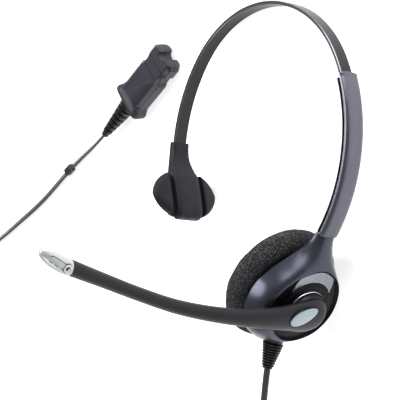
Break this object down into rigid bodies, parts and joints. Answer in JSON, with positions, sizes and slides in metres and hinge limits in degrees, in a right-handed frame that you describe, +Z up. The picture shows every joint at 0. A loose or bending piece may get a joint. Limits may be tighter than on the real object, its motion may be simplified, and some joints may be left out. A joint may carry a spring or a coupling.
{
  "type": "office headset",
  "caption": "Single-ear office headset with a sliding headband, temple pad, foam ear cushion, swinging microphone boom and a corded quick-disconnect plug, lying on its back edges.",
  "frame": {"origin": "on the table under the middle of the headset, cord and plug left out", "axes": "+Z up from the table, which is about the wearer's front; +Y towards the top of the headband; +X to the ear-cup side, the wearer's left"},
  "size_m": [0.351, 0.2773, 0.1768],
  "materials": {
    "strip": "satin black lacquered spring steel",
    "steel": "plain steel",
    "pad_core": "moulded plastic insert",
    "pad_rubber": "soft matte charcoal rubber with a fine moulded grain",
    "arm_paint": "satin metallic violet-grey paint on moulded plastic",
    "inner_plastic": "matte black moulded plastic",
    "housing_paint": "satin metallic blue-grey paint on moulded plastic",
    "accent": "light silver satin paint",
    "dial_black": "black moulded plastic, semi-gloss",
    "bright_ring": "thin bright plated ring",
    "boom_black": "near-black violet satin plastic",
    "badge": "pale blue-grey domed badge, blank",
    "tip_silver": "satin silver paint",
    "port_white": "white moulded plastic",
    "foam": "open-cell acoustic foam, black with light specks",
    "speaker_steel": "zinc-plated steel",
    "cone_paper": "thin plastic film cone",
    "brass": "plated brass",
    "cord_rubber": "black cord sheath and strain relief",
    "plug_plastic": "satin dark violet-grey moulded plastic"
  },
  "bodies": {
    "headset_body": {"arm_shell": "arm_paint", "arm_liner": "inner_plastic", "detent_spring": "steel", "cup_housing": "housing_paint", "accent_crescent": "accent", "boom_dial": "dial_black", "dial_ring": "bright_ring", "cup_back_plate": "inner_plastic", "plate_screws": "steel", "friction_washer": "brass", "cord_relief": "cord_rubber", "cord_tube": "cord_rubber", "cord_coil": "cord_rubber", "coil_tie": "cord_rubber", "cord_lead": "cord_rubber", "cord_clip": "cord_rubber", "plug_relief": "cord_rubber", "plug_body": "plug_plastic", "plug_cover": "plug_plastic", "plug_contacts": "brass"},
    "headband": {"headband_strip": "strip", "stop_rivet": "steel", "pad_core": "pad_core", "pad_rivets": "steel", "temple_pad": "pad_rubber"},
    "gimbal": {"gimbal_ring": "inner_plastic"},
    "earpiece": {"speaker_frame": "inner_plastic", "speaker_magnet": "speaker_steel", "speaker_cone": "cone_paper", "speaker_grille": "inner_plastic", "ear_cushion": "foam"},
    "boom": {"boom_pivot": "inner_plastic", "boom_retainer": "steel", "boom_tube": "boom_black", "hub_badge": "badge", "mic_tip": "tip_silver", "mic_inlay": "tip_silver", "mic_port_ring": "port_white", "mic_capsule": "brass"}
  },
  "joints": [
    {"name": "headband_slide", "type": "hinge", "parent": "headset_body", "child": "headband", "pos_m": [-0.01667, 0.01762, 0.01636], "axis": [-0.0395, 0.1788, 0.9831], "range_deg": [-8, 20]},
    {"name": "boom_swing", "type": "hinge", "parent": "headset_body", "child": "boom", "pos_m": [0.04272, -0.05784, 0.03247], "axis": [-0.8704, 0.477, -0.1217], "range_deg": [-75, 210]},
    {"name": "ear_nod", "type": "hinge", "parent": "headset_body", "child": "gimbal", "pos_m": [0.03341, -0.05274, 0.03117], "axis": [0.0395, -0.1788, -0.9831], "range_deg": [-4, 4]},
    {"name": "ear_turn", "type": "hinge", "parent": "gimbal", "child": "earpiece", "pos_m": [0.03341, -0.05274, 0.03117], "axis": [0.4907, 0.8605, -0.1368], "range_deg": [-4, 4]}
  ]
}
